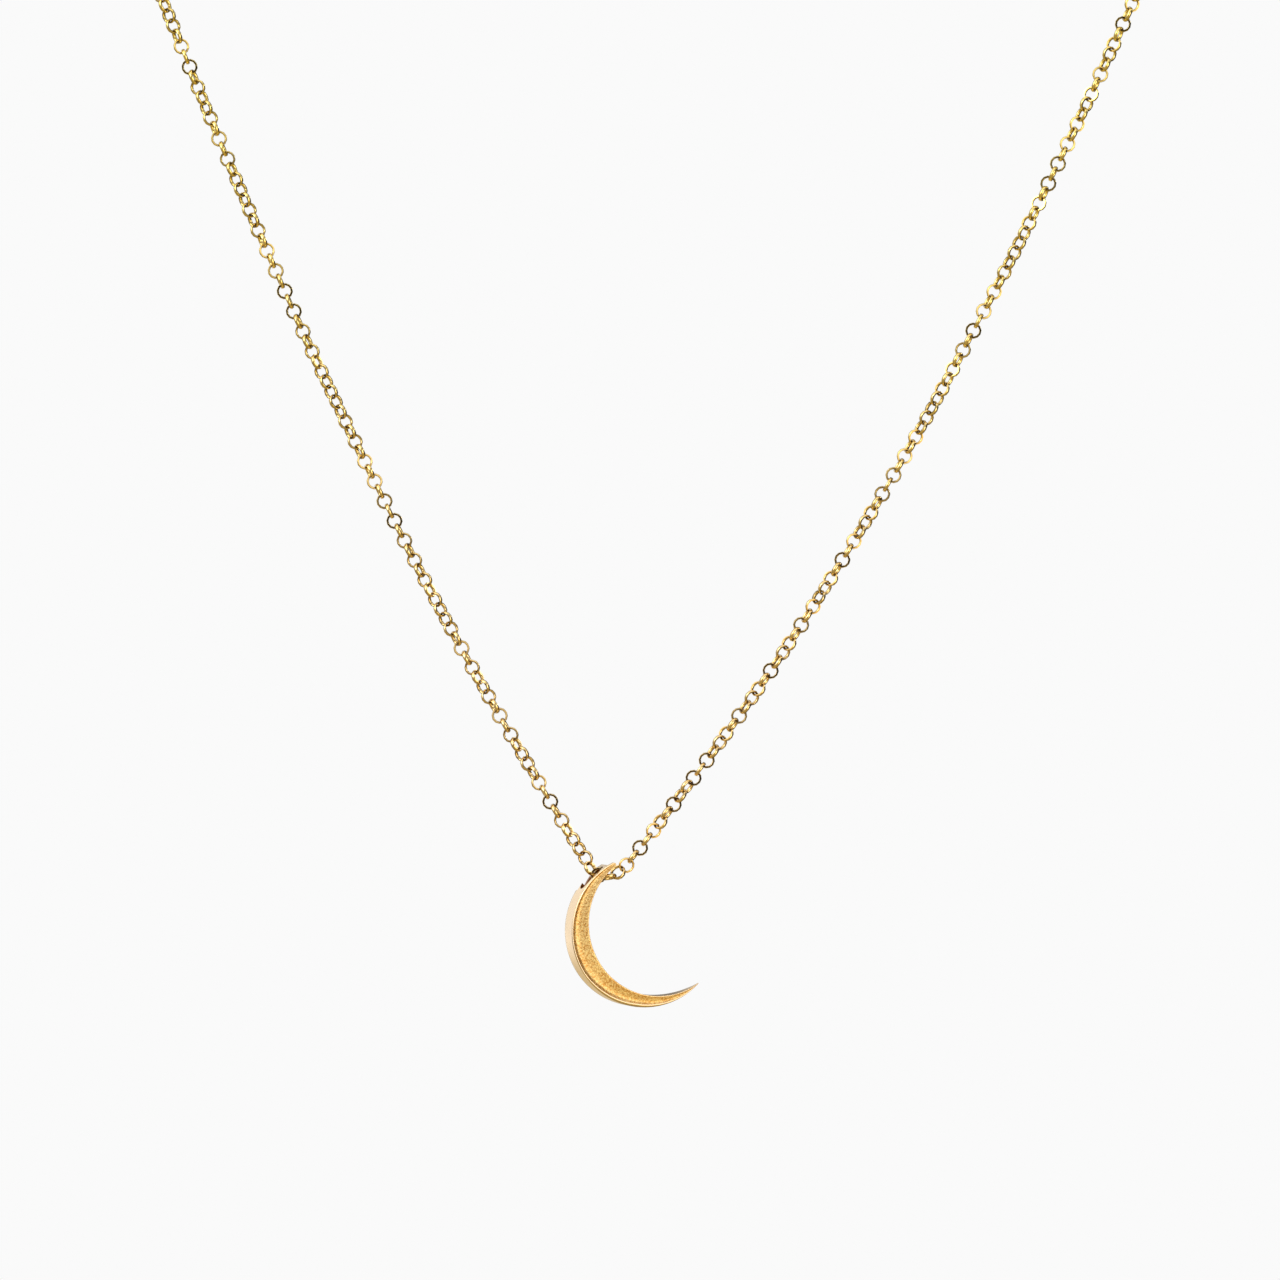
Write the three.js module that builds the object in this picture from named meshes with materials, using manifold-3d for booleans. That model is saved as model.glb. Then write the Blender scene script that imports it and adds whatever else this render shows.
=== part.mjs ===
// Crescent pendant on a belcher chain with a spring ring clasp, hung over a round neck form.
// Millimetres, +Z up. The loop lies in the XZ plane, and the origin is the centre of the neck form,
// which itself isn't part of the necklace. -Y is the side that faces forward when it is worn.
import * as THREE from 'three';
import { mergeVertices } from 'three/addons/utils/BufferGeometryUtils.js';
import Module from 'manifold-3d';

const wasm = await Module();
wasm.setup();

// ---- driving dimensions ----

// belcher link: a round ring of flattened wire
const linkOuterRadius = 0.76;
const linkWireRadial = 0.22;
const linkWireAxial = 0.4;
const linkPitch = 1.02;
const linkMiddleRadius = linkOuterRadius - linkWireRadial / 2;
const linkInnerRadius = linkOuterRadius - linkWireRadial;

// chain loop
const chainRadius = 0.75; // of the plain tube that stands for a run of links
const chainSides = 8;
const stepsPerRun = 20;
const neckRadius = 51.0; // neck form, to the middle of the chain on it
const frontLinks = 8; // links modelled one by one on each side of the pendant
const runGap = linkOuterRadius + 0.3; // from the middle of a link to the end of a run

// crescent pendant, as seen on its own face
const outerArcRadius = 7.08;
const innerArcRadius = 6.785;
const innerArcOffset = [1.318, 0.747]; // from the outer arc's centre
const upperTipAngle = 115; // degrees about the outer arc's centre
const lowerTipAngle = 316.2;
const pendantDepth = 2.6;
const backTaper = [ // along the face, and how far back the lower horn reaches there
  [0, 1.3], [1.5, 1.08], [3.0, 0.45], [4.2, -0.25], [5.2, -1.0],
];
const pendantTurn = 16; // degrees about the vertical through its balance point
const balanceU = -3.73; // balance point, left of the outer arc's centre
const balanceX = -4.324; // where the balance point hangs
const pendantZ = -111.0; // height of the outer arc's centre

// slot through the upper horn, which the chain threads
const slotUpperAngle = 121.8;
const slotLowerAngle = 147;
const slotWidth = 1.8;
const bridgeAngle = 120; // where the bridge across the slot's top ends; beyond it is only the front plate
const strapWidth = 0.6; // of the bar behind the slot
const plateDepth = 0.42; // of the front plate at the upper tip

// spring ring clasp, lying flat at the top of the neck form
const claspZ = 51.7;
const claspRadius = 2.2; // to the middle of the tube
const claspTube = 0.55;
const claspBore = 0.39;
const shellStart = 70; // degrees round the clasp, counterclockwise from above, from +X
const shellEnd = 380;
const springStart = 172;
const springEnd = 300;
const boltRadius = 0.33;
const boltStart = 14;
const boltEnd = 169;
const boltTravel = 54;
const lugAngle = 108;

// plain rings that join the clasp to the chain
const ringWire = 0.2; // radius of their round wire
const claspRingRadius = 0.95; // to the middle of the wire
const endRingRadius = 1.15;
const eyeRadius = 0.62;
const eyeWire = 0.22;
const touchGap = 0.03;

// ---- materials ----

const polishedGold = new THREE.MeshStandardMaterial({ color: 0xe9c36b, roughness: 0.16, metalness: 1 });
const satinGold = new THREE.MeshStandardMaterial({ color: 0xd9ac5e, roughness: 0.42, metalness: 1 });
const springSteel = new THREE.MeshStandardMaterial({ color: 0xa9a9ad, roughness: 0.35, metalness: 1 });

// ---- helpers ----

const radians = THREE.MathUtils.degToRad;
const necklace = new THREE.Group();
necklace.name = 'crescent_pendant_necklace';

function addPiece(name, geometry, material, parent = necklace) {
  const mesh = new THREE.Mesh(geometry, material);
  mesh.name = name;
  parent.add(mesh);
  return mesh;
}

function toSolid(geometry) {
  const bare = geometry.clone();
  bare.deleteAttribute('normal');
  bare.deleteAttribute('uv');
  const welded = mergeVertices(bare, 1e-4);
  return new wasm.Manifold(new wasm.Mesh({
    numProp: 3,
    vertProperties: new Float32Array(welded.attributes.position.array),
    triVerts: new Uint32Array(welded.index.array),
  }));
}

function toGeometry(solid) {
  const { vertProperties, triVerts } = solid.getMesh();
  const geometry = new THREE.BufferGeometry();
  geometry.setAttribute('position', new THREE.BufferAttribute(vertProperties, 3));
  geometry.setIndex(new THREE.BufferAttribute(triVerts, 1));
  geometry.computeVertexNormals();
  return geometry;
}

function circleSection(radius, sides) {
  const corners = [];
  for (let i = 0; i < sides; i += 1) {
    const turn = (i / sides) * Math.PI * 2;
    corners.push(new THREE.Vector2(radius * Math.cos(turn), radius * Math.sin(turn)));
  }
  return new THREE.Shape(corners);
}

// a closed tube along any curve
function tube(curve, radius, sides, steps) {
  return new THREE.ExtrudeGeometry(circleSection(radius, sides), {
    steps, extrudePath: curve, bevelEnabled: false,
  });
}

// an arc in the XY plane about the origin, in degrees
class FlatArc extends THREE.Curve {
  constructor(radius, from, to) {
    super();
    Object.assign(this, { radius, from, to });
  }

  getPoint(t, target = new THREE.Vector3()) {
    const turn = radians(THREE.MathUtils.lerp(this.from, this.to, t));
    return target.set(this.radius * Math.cos(turn), this.radius * Math.sin(turn), 0);
  }
}

// a coil whose middle line is such an arc
class CoiledArc extends FlatArc {
  constructor(radius, from, to, coilRadius, turns) {
    super(radius, from, to);
    Object.assign(this, { coilRadius, turns });
  }

  getPoint(t, target = new THREE.Vector3()) {
    const along = radians(THREE.MathUtils.lerp(this.from, this.to, t));
    const wind = t * this.turns * Math.PI * 2;
    const reach = this.radius + this.coilRadius * Math.cos(wind);
    return target.set(reach * Math.cos(along), reach * Math.sin(along), this.coilRadius * Math.sin(wind));
  }
}

// a ring about the Y axis whose wire has an elliptical section
function ringGeometry(middleRadius, halfRadial, halfAxial, sectionSides, segments) {
  const profile = [];
  for (let i = 0; i <= sectionSides; i += 1) {
    const turn = ((i % sectionSides) / sectionSides) * Math.PI * 2;
    profile.push(new THREE.Vector2(
      middleRadius + halfRadial * Math.cos(turn),
      halfAxial * Math.sin(turn),
    ));
  }
  return new THREE.LatheGeometry(profile, segments);
}

// ---- chain ----

const linkGeometry = ringGeometry(linkMiddleRadius, linkWireRadial / 2, linkWireAxial / 2, 8, 20);

// One link with its middle at x, z. The chain runs along (alongX, alongZ), and twist turns the link
// about that line: at 0 its round face looks forward, at 90 it is seen on edge.
function addLink(name, [x, z], [alongX, alongZ], twist) {
  const along = new THREE.Vector3(alongX, 0, alongZ).normalize();
  const ringAxis = new THREE.Vector3(0, 1, 0).applyAxisAngle(along, radians(twist));
  const link = addPiece(name, linkGeometry, polishedGold);
  link.quaternion.setFromUnitVectors(new THREE.Vector3(0, 1, 0), ringAxis);
  link.position.set(x, 0, z);
}

// the links about the pendant: middle x, z, and twist
const pendantLinks = [
  ['left_link_3', [-6.57, -103.39], 315],
  ['left_link_2', [-5.97, -104.24], 210],
  ['left_link_1', [-5.52, -105.2], 119],
  ['tunnel_link', [-4.77, -105.83], 0],
  ['right_link_1', [-3.83, -106.0], 78],
  ['right_link_2', [-2.965, -105.58], 142],
  ['right_link_3', [-2.18, -104.91], 195],
];
pendantLinks.forEach(([name, middle, twist], i) => {
  const before = pendantLinks[Math.max(i - 1, 0)][1];
  const after = pendantLinks[Math.min(i + 1, pendantLinks.length - 1)][1];
  addLink(name, middle, [after[0] - before[0], after[1] - before[1]], twist);
});

// the middle line of each front run, from its hang point down to its link 3 beside the pendant
const leftFrontRoute = [
  [-46.6, -21.0], [-44.3, -26.84], [-41.32, -34.24], [-38.22, -41.65], [-35.02, -49.06],
  [-31.69, -56.47], [-28.19, -63.87], [-24.55, -71.28], [-20.76, -78.69], [-16.75, -86.1],
  [-12.51, -93.5], [-8.6, -100.08], [-6.57, -103.39],
];
const rightFrontRoute = [
  [46.5, -21.0], [43.88, -26.84], [40.51, -34.24], [36.95, -41.65], [33.29, -49.06],
  [29.37, -56.47], [25.38, -63.87], [21.06, -71.28], [16.52, -78.69], [11.71, -86.1],
  [6.49, -93.5], [0.93, -100.91], [-2.18, -104.91],
];

// a smooth line through a route of x, z points
function smoothLine(route) {
  const points = route.map(([x, z]) => new THREE.Vector3(x, 0, z));
  return new THREE.CatmullRomCurve3(points, false, 'centripetal');
}

// the stretch of a line from one distance along it to another
class Stretch extends THREE.Curve {
  constructor(line, from, to) {
    super();
    Object.assign(this, { line, from: from / line.getLength(), to: to / line.getLength() });
  }

  getPoint(t, target = new THREE.Vector3()) {
    return this.line.getPointAt(THREE.MathUtils.lerp(this.from, this.to, t), target);
  }
}

// the plain tube that stands for a run of links, from one distance along a line to another
function addRun(name, line, from, to) {
  addPiece(name, tube(new Stretch(line, from, to), chainRadius, chainSides, stepsPerRun), polishedGold);
}

// a link with its middle at a distance along a line
function addLinkOn(name, line, distance, twist) {
  const share = distance / line.getLength();
  const middle = line.getPointAt(share);
  const along = line.getTangentAt(share);
  addLink(name, [middle.x, middle.z], [along.x, along.z], twist);
}

// One side of the front: the link that hangs from the neck chain, a run, and the links down to link 3.
// lastTwist is link 3's. Each link above it turns on by a quarter less untwist, until the chain
// has untwisted by mostUntwist.
function addFront(side, route, lastTwist, untwist, mostUntwist) {
  const line = smoothLine(route);
  const length = line.getLength();
  addLinkOn(`${side}_hang_link`, line, linkPitch / 2, 0);
  for (let n = 4; n <= frontLinks; n += 1) {
    const above = n - 3;
    const twist = lastTwist + 90 * above - Math.min(untwist * above, mostUntwist);
    addLinkOn(`${side}_link_${n}`, line, length - linkPitch * above, twist);
  }
  const lowest = length - linkPitch * (frontLinks - 3);
  addRun(`${side}_front_chain`, line, linkPitch / 2 + runGap, lowest - runGap);
}

// One side over the neck form: the shoulder link, and a run up, round the form and straight to the clasp.
function addNeckSide(side, hang, next, fromAngle, toAngle, endLink) {
  const arcPoints = 12;
  const route = [hang];
  for (let i = 0; i <= arcPoints; i += 1) {
    const turn = radians(THREE.MathUtils.lerp(fromAngle, toAngle, i / arcPoints));
    route.push([neckRadius * Math.cos(turn), neckRadius * Math.sin(turn)]);
  }
  const line = smoothLine([...route, endLink]);
  addLink(`${side}_shoulder_link`, pointBeyond(hang, next, linkPitch / 2), [next[0] - hang[0], next[1] - hang[1]], 90);
  addRun(`${side}_neck_chain`, line, linkPitch / 2 + runGap, line.getLength() - runGap);
}

// the point a distance past start, away from next
function pointBeyond(start, next, distance) {
  const length = Math.hypot(next[0] - start[0], next[1] - start[1]);
  return start.map((value, i) => value - ((next[i] - value) * distance) / length);
}

addFront('left', leftFrontRoute, 315, 9, 45);
addFront('right', rightFrontRoute, 195, 5, 15);

// where the last link on each side meets its ring at the clasp
const eyeX = -(claspRadius + claspTube + touchGap + eyeRadius + eyeWire);
const claspRingX = eyeX - (eyeRadius - eyeWire) + ringWire + touchGap - claspRingRadius;
const leftEndX = claspRingX - claspRingRadius + ringWire + touchGap - linkInnerRadius;
const endRingX = claspRadius - claspTube - touchGap - ringWire + endRingRadius;
const rightEndX = endRingX + endRingRadius - ringWire - touchGap + linkInnerRadius;
const leftEnd = [leftEndX, claspZ - 0.1];
const rightEnd = [rightEndX, claspZ - 0.05];

// Angles are where the chain meets and leaves the neck form.
addNeckSide('left', leftFrontRoute[0], leftFrontRoute[1], 201.3, 107.6, leftEnd);
addNeckSide('right', rightFrontRoute[0], rightFrontRoute[1], -24.2, 75.4, rightEnd);
addLink('left_end_link', leftEnd, [1, 0.12], 90);
addLink('right_end_link', rightEnd, [1, -0.12], 90);

// ---- crescent pendant ----

// The face's outline: the outer arc round the left and bottom, then back along the inner arc.
function crescentOutline() {
  const arcSteps = 60;
  const [du, dw] = innerArcOffset;
  const innerAngle = (outerAngle) => { // the inner arc's own angle beside a point of the outer arc
    const u = outerArcRadius * Math.cos(radians(outerAngle)) - du;
    const w = outerArcRadius * Math.sin(radians(outerAngle)) - dw;
    return (THREE.MathUtils.radToDeg(Math.atan2(w, u)) + 360) % 360;
  };
  const corners = [];
  for (let i = 0; i <= arcSteps; i += 1) {
    const turn = radians(THREE.MathUtils.lerp(upperTipAngle, lowerTipAngle, i / arcSteps));
    corners.push(new THREE.Vector2(outerArcRadius * Math.cos(turn), outerArcRadius * Math.sin(turn)));
  }
  for (let i = 0; i <= arcSteps; i += 1) {
    const share = i / arcSteps;
    const turn = radians(THREE.MathUtils.lerp(innerAngle(lowerTipAngle), innerAngle(upperTipAngle), share));
    corners.push(new THREE.Vector2(
      du + innerArcRadius * Math.cos(turn),
      dw + innerArcRadius * Math.sin(turn),
    ));
  }
  return new THREE.Shape(corners);
}

// a bar with round ends, through the horn along the radius at the slot's middle
function slotCutter() {
  const half = slotWidth / 2;
  const middle = (slotUpperAngle + slotLowerAngle) / 2;
  const hornRadius = 6.66; // middle of the horn there
  const halfLength = hornRadius * Math.sin(radians((slotLowerAngle - slotUpperAngle) / 2));
  const stadium = new THREE.Shape();
  stadium.absarc(0, halfLength - half, half, 0, Math.PI, false);
  stadium.absarc(0, half - halfLength, half, Math.PI, 2 * Math.PI, false);
  const cutter = new THREE.ExtrudeGeometry(stadium, { depth: 4, bevelEnabled: false, curveSegments: 12 });
  cutter.translate(0, 0, -2);
  cutter.rotateY(Math.PI / 2); // the bar's length along the radius, its section's long side round the arc
  cutter.translate(hornRadius, 0, 0);
  return cutter.rotateZ(radians(middle));
}

// a sector about a centre, between two radii and two angles, from one depth backwards
function sectorCutter([u, w], [inner, outer], [from, to], front) {
  const sector = new THREE.Shape();
  sector.absarc(u, w, outer, radians(from), radians(to), false);
  sector.absarc(u, w, inner, radians(to), radians(from), true);
  const cutter = new THREE.ExtrudeGeometry(sector, { depth: pendantDepth, bevelEnabled: false, curveSegments: 12 });
  return cutter.translate(0, 0, front);
}

// leaves a narrow strap behind the slot
const strapCutter = () => sectorCutter(innerArcOffset, [innerArcRadius + strapWidth, 9.5], [134, 157.5], 0.85);

// leaves only the front plate at the upper tip
const tipCutter = () => sectorCutter([0, 0], [5, 8.5], [108, bridgeAngle], plateDepth - pendantDepth / 2);

// thins the lower horn from behind, towards its tip
function taperCutter() {
  const beyond = 2;
  const corners = backTaper.map(([u, back]) => new THREE.Vector2(u, back));
  corners.push(new THREE.Vector2(6, -beyond), new THREE.Vector2(7, beyond), new THREE.Vector2(-0.5, beyond));
  corners.push(new THREE.Vector2(-0.5, pendantDepth / 2 + 0.02));
  const cutter = new THREE.ExtrudeGeometry(new THREE.Shape(corners), { depth: 8, bevelEnabled: false });
  cutter.rotateX(Math.PI / 2); // u stays, the outline's second axis becomes depth
  return cutter;
}

// u to the right and w up on the face, depth along the third axis
const crescentBlank = new THREE.ExtrudeGeometry(crescentOutline(), { depth: pendantDepth, bevelEnabled: false });
crescentBlank.translate(0, 0, -pendantDepth / 2);
const crescentSolid = [slotCutter(), strapCutter(), tipCutter(), taperCutter()].reduce(
  (solid, cutter) => solid.subtract(toSolid(cutter)),
  toSolid(crescentBlank),
);
const crescent = toGeometry(crescentSolid);
crescent.rotateX(Math.PI / 2);
crescent.translate(-balanceU, 0, 0);
const pendant = addPiece('crescent_pendant', crescent, satinGold);
pendant.rotation.z = radians(pendantTurn);
pendant.position.set(balanceX, 0, pendantZ);

// ---- spring ring clasp and its rings ----

const clasp = new THREE.Group();
clasp.position.z = claspZ;
necklace.add(clasp);

const arcTube = (radius, from, to) => (
  tube(new FlatArc(claspRadius, from, to), radius, 12, Math.ceil(Math.abs(to - from) / 9))
);

// the opening in the outer wall that the thumb lug slides along
function lugSlot() {
  const halfHeight = 0.2;
  const inner = claspRadius + 0.1;
  const outer = claspRadius + claspTube + 0.4;
  const from = radians(lugAngle - 7);
  const to = radians(lugAngle + boltTravel + 7);
  const sector = new THREE.Shape();
  sector.absarc(0, 0, outer, from, to, false);
  sector.absarc(0, 0, inner, to, from, true);
  const slot = new THREE.ExtrudeGeometry(sector, { depth: 2 * halfHeight, bevelEnabled: false, curveSegments: 10 });
  return slot.translate(0, 0, -halfHeight);
}

const shell = toSolid(arcTube(claspTube, shellStart, shellEnd))
  .subtract(toSolid(arcTube(claspBore, shellStart - 8, springEnd + 2)))
  .subtract(toSolid(arcTube(claspBore, shellEnd - 9, shellEnd + 8)))
  .subtract(toSolid(lugSlot()));
addPiece('clasp_shell', toGeometry(shell), polishedGold, clasp);

addPiece('clasp_bolt', arcTube(boltRadius, boltStart, boltEnd), polishedGold, clasp);

const springTurns = 13;
const springWire = 0.06;
const springCurve = new CoiledArc(claspRadius, springStart, springEnd, 0.25, springTurns);
addPiece('clasp_spring', tube(springCurve, springWire, 5, springTurns * 10), springSteel, clasp);

// a short stem with a round head, on the bolt
const lugProfile = [[0, 0.04], [0.14, 0.04], [0.14, 0.5], [0.26, 0.56], [0.31, 0.7], [0.26, 0.85], [0.12, 0.94], [0, 0.96]];
const lugGeometry = new THREE.LatheGeometry(lugProfile.map(([r, y]) => new THREE.Vector2(r, y)), 12);
const lug = addPiece('clasp_thumb_lug', lugGeometry, polishedGold, clasp);
lug.rotation.z = radians(lugAngle - 90);
lug.position.set(
  (claspRadius + boltRadius) * Math.cos(radians(lugAngle)),
  (claspRadius + boltRadius) * Math.sin(radians(lugAngle)),
  0,
);

const eye = addPiece('clasp_eye', ringGeometry(eyeRadius, eyeWire, eyeWire, 8, 18), polishedGold, clasp);
eye.rotation.x = Math.PI / 2;
eye.position.x = eyeX;

const claspRing = ringGeometry(claspRingRadius, ringWire, ringWire, 8, 24);
addPiece('clasp_jump_ring', claspRing, polishedGold, clasp).position.x = claspRingX;

const endRing = ringGeometry(endRingRadius, ringWire, ringWire, 8, 24);
addPiece('end_ring', endRing, polishedGold, clasp).position.x = endRingX;

export default necklace;
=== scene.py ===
import math

import bmesh
import bpy
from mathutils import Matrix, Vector


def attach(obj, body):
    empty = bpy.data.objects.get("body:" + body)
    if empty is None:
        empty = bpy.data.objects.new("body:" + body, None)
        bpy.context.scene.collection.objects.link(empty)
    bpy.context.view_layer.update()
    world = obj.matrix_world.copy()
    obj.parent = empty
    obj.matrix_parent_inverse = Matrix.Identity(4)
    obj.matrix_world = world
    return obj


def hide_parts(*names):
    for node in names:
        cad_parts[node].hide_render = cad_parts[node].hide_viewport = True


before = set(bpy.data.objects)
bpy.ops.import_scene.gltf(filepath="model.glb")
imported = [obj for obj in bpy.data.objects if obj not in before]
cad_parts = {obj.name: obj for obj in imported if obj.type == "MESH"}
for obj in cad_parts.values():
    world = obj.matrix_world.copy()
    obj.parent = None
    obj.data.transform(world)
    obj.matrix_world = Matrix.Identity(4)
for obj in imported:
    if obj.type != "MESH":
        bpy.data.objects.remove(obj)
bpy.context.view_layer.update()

mm = 0.001
scene = bpy.context.scene


def report(stage):
    print("necklace:", stage)


# camera

cameraSet = {
    "centre": (-0.00093, 0.0, -0.08406),  # middle of the lower half of the loop
    "distance": 0.6,
    "lens": 182.25,  # a long lens, so the links at the back aren't smaller
    "sensor": 36.0,
    "near": 0.05,
    "far": 20.0,
}


def addCamera():
    lens = bpy.data.cameras.new("studioCamera")
    lens.sensor_width = cameraSet["sensor"]
    lens.lens = cameraSet["lens"]
    lens.clip_start = cameraSet["near"]
    lens.clip_end = cameraSet["far"]
    camera = bpy.data.objects.new("studioCamera", lens)
    scene.collection.objects.link(camera)
    camera.location = Vector(cameraSet["centre"]) - Vector((0, cameraSet["distance"], 0))
    camera.rotation_euler = (math.radians(90), 0, 0)  # level, looking along +Y
    scene.camera = camera


addCamera()
report("camera")


# helpers for nodes, colours and meshes

def hexColour(text):
    # an sRGB hex value as a linear colour
    channels = [int(text[i:i + 2], 16) / 255 for i in (1, 3, 5)]
    linear = [c / 12.92 if c <= 0.04045 else ((c + 0.055) / 1.055) ** 2.4 for c in channels]
    return (*linear, 1.0)


def addNode(tree, kind, inputs=None, **settings):
    # inputs go to sockets by name or number, and a socket among them is linked
    node = tree.nodes.new(kind)
    for name, value in settings.items():
        setattr(node, name, value)
    for key, value in (inputs or {}).items():
        if isinstance(value, bpy.types.NodeSocket):
            tree.links.new(value, node.inputs[key])
        else:
            node.inputs[key].default_value = value
    return node


mergeDistance = 1e-7  # metres, for corners that are meant to be the same


def newPiece(name, mesh, body, slot, *replaced):
    piece = bpy.data.objects.new(name, mesh)
    scene.collection.objects.link(piece)
    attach(piece, body)
    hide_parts(*replaced)
    return piece


def buildMesh(name, corners, faces, materials, indices=None, sharpAngle=40):
    mesh = bpy.data.meshes.new(name)
    mesh.from_pydata([tuple(c) for c in corners], [], faces)
    mesh.update()
    for material in materials:
        mesh.materials.append(material)
    if indices:
        mesh.polygons.foreach_set("material_index", indices)
    smoothMesh(mesh, sharpAngle)
    return mesh


def smoothMesh(mesh, sharpAngle):
    # merges doubles, turns normals outward and shades smooth up to an angle
    work = bmesh.new()
    work.from_mesh(mesh)
    bmesh.ops.remove_doubles(work, verts=work.verts, dist=mergeDistance)
    bmesh.ops.recalc_face_normals(work, faces=work.faces)
    work.to_mesh(mesh)
    work.free()
    mesh.polygons.foreach_set("use_smooth", [True] * len(mesh.polygons))
    mesh.set_sharp_from_angle(angle=math.radians(sharpAngle))
    mesh.update()


def tubeFaces(rings, sides, capped=True):
    # quads from each ring of corners to the next, and a face over each end
    faces = []
    for i in range(rings - 1):
        for j in range(sides):
            k = (j + 1) % sides
            faces.append((i * sides + j, i * sides + k, (i + 1) * sides + k, (i + 1) * sides + j))
    if capped:
        faces.append(tuple(range(sides)))
        faces.append(tuple(reversed(range((rings - 1) * sides, rings * sides))))
    return faces


def prismFaces(sides):
    # the ends and walls of a prism: the corners of one end, then those of the other
    faces = [tuple(range(sides)), tuple(reversed(range(sides, 2 * sides)))]
    return faces + [(i, (i + 1) % sides, sides + (i + 1) % sides, sides + i) for i in range(sides)]


def plainMesh(host):
    # the evaluated object as a mesh, with its modifiers gone
    bpy.context.view_layer.update()
    graph = bpy.context.evaluated_depsgraph_get()
    mesh = bpy.data.meshes.new_from_object(host.evaluated_get(graph), depsgraph=graph)
    bpy.data.objects.remove(host)
    return mesh


# materials

def startMaterial(name):
    material = bpy.data.materials.new(name)
    material.use_nodes = True
    tree = material.node_tree
    tree.nodes.clear()
    surface = addNode(tree, "ShaderNodeBsdfPrincipled")
    surface.inputs["Metallic"].default_value = 1.0
    output = addNode(tree, "ShaderNodeOutputMaterial")
    tree.links.new(surface.outputs["BSDF"], output.inputs["Surface"])
    where = addNode(tree, "ShaderNodeTexCoord").outputs["Object"]
    return material, tree, surface, where


wireSet = {
    "highColour": "#F8E08A",  # yellow gold higher up the chain
    "lowColour": "#F8DA9C",  # warmer towards the pendant
    "shadeAndTarnishColour": "#4E260F",  # painted shade where the links meet, with a little tarnish
    "sideDarkReflectionColour": "#8C7440",  # painted dark reflection on the rings' flat sides
    "sideDarkReflectionShare": 0.6,
    "highZ": -0.030,
    "lowZ": -0.095,
    "roughness": 0.13,
    "shades": (0.9, 1.04),  # the links' brightness, from one to another
    "blotch": 0.35,  # mm across a patch, which varies the gloss and the painted shade and tarnish
    "blotchShares": (0.65, 1.0),  # how much of the painted shade and tarnish colour shows in a patch
    "scratchWidth": 0.05,  # mm between drawing lines
    "scratchDepth": 0.002,  # mm
    "scratchStrength": 0.15,
}


def makeWireGold():
    # 14 carat gold wire, drawn and tumble polished: mirror bright with faint draw lines;
    # darker and redder where the links meet, as painted shade with a little tarnish, and a painted dark
    # reflection on the flat sides
    material, tree, surface, where = startMaterial("tumbledDrawnGoldWire")
    place = addNode(tree, "ShaderNodeSeparateXYZ", {0: where})
    height = addNode(tree, "ShaderNodeMapRange", {
        "Value": place.outputs["Z"],
        "From Min": wireSet["lowZ"],
        "From Max": wireSet["highZ"],
    }, interpolation_type="SMOOTHSTEP")
    tone = addNode(tree, "ShaderNodeMix", {
        0: height.outputs[0],
        6: hexColour(wireSet["lowColour"]),
        7: hexColour(wireSet["highColour"]),
    }, data_type="RGBA")
    shade = addNode(tree, "ShaderNodeAttribute", attribute_name="linkShade")
    dullest, brightest = wireSet["shades"]
    varied = addNode(tree, "ShaderNodeHueSaturation", {
        "Value": addNode(tree, "ShaderNodeMapRange", {
            "Value": shade.outputs["Fac"], "To Min": dullest, "To Max": brightest,
        }).outputs[0],
        "Color": tone.outputs[2],
    })
    # the flat sides get a painted dark reflection: an olive brown mixed into the colour
    side = addNode(tree, "ShaderNodeAttribute", attribute_name="side")
    sideDarkReflectionShare = addNode(tree, "ShaderNodeMath", {
        0: side.outputs["Fac"], 1: wireSet["sideDarkReflectionShare"],
    }, operation="MULTIPLY")
    sided = addNode(tree, "ShaderNodeMix", {
        0: sideDarkReflectionShare.outputs[0],
        6: varied.outputs["Color"],
        7: hexColour(wireSet["sideDarkReflectionColour"]),
    }, data_type="RGBA")
    creaseShadeAndTarnish = addNode(tree, "ShaderNodeAttribute", attribute_name="creaseShadeAndTarnish")
    blotch = addNode(tree, "ShaderNodeTexNoise", {
        "Vector": where, "Scale": 1 / (wireSet["blotch"] * mm), "Detail": 3.0, "Roughness": 0.6,
    })
    least, most = wireSet["blotchShares"]
    # painted shade with a little tarnish where the links meet, thinned in patches
    shadeAndTarnishMix = addNode(tree, "ShaderNodeMath", {
        0: creaseShadeAndTarnish.outputs["Fac"],
        1: addNode(tree, "ShaderNodeMapRange", {
            "Value": blotch.outputs["Fac"],
            "From Min": 0.35, "From Max": 0.65, "To Min": least, "To Max": most,
        }).outputs[0],
    }, operation="MULTIPLY")
    colour = addNode(tree, "ShaderNodeMix", {
        0: shadeAndTarnishMix.outputs[0],
        6: sided.outputs[2],
        7: hexColour(wireSet["shadeAndTarnishColour"]),
    }, data_type="RGBA")
    tree.links.new(colour.outputs[2], surface.inputs["Base Color"])
    gloss = addNode(tree, "ShaderNodeMapRange", {
        "Value": blotch.outputs["Fac"],
        "From Min": 0.3, "From Max": 0.7,
        "To Min": wireSet["roughness"] - 0.04, "To Max": wireSet["roughness"] + 0.08,
    })
    tree.links.new(gloss.outputs[0], surface.inputs["Roughness"])
    lines = addNode(tree, "ShaderNodeTexNoise", {
        "Vector": where, "Scale": 1 / (wireSet["scratchWidth"] * mm), "Detail": 2.0,
    })
    bump = addNode(tree, "ShaderNodeBump", {
        "Strength": wireSet["scratchStrength"],
        "Distance": wireSet["scratchDepth"] * mm,
        "Height": lines.outputs["Fac"],
    })
    tree.links.new(bump.outputs[0], surface.inputs["Normal"])
    return material


satinSet = {
    "deepColour": "#D09850",
    "brightColour": "#FFE2A0",
    "grain": 0.17,  # mm, coarser than the real grit's marks, so that it shows
    "grainDepth": 0.03,  # mm
    "grainStrength": 0.8,
    "cloud": 1.4,  # mm across a patch that is a little brighter or darker
    "cloudShare": 0.25,
    "roughness": 0.44,
    "roughnessSpread": 0.08,
}


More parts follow.
